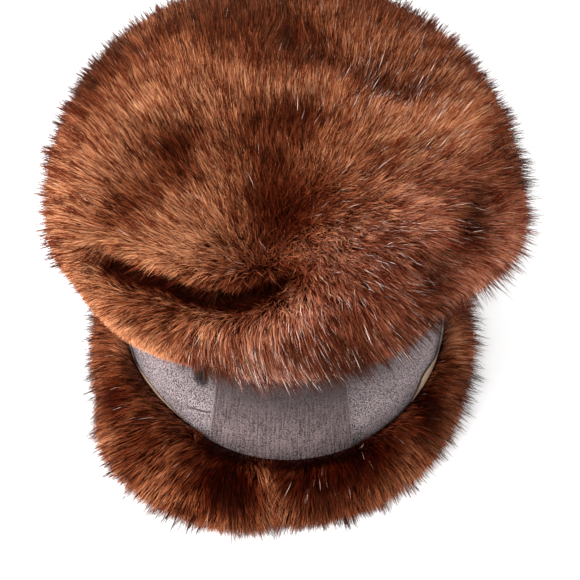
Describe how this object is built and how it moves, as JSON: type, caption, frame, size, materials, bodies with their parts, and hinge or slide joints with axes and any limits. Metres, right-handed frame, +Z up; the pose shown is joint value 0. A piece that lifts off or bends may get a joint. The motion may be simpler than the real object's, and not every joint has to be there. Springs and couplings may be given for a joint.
{
  "type": "fur hat",
  "caption": "Puffed fur hat: a soft overhanging fur crown on a felt side band with a flat front tab, and a narrow fur brim turned down all round. Open below for a head.",
  "frame": {"origin": "middle of the whole hat's footprint, at the height of the surface that the brim rests on", "axes": "+Z up through the crown, the front of the hat with its tab faces -Y, +X to the left side of the wearer"},
  "size_m": [0.246, 0.2682, 0.1921],
  "materials": {
    "fur": "long glossy brown fur with a few silver hairs",
    "felt": "napped grey wool felt",
    "tab_felt": "grey wool felt with an upright grain",
    "bare_skin": "dull tan suede"
  },
  "bodies": {
    "root": {"crown": "fur", "hat_band": "felt", "band_tab": "tab_felt", "pelt_edge": "bare_skin", "brim": "fur"}
  },
  "joints": []
}
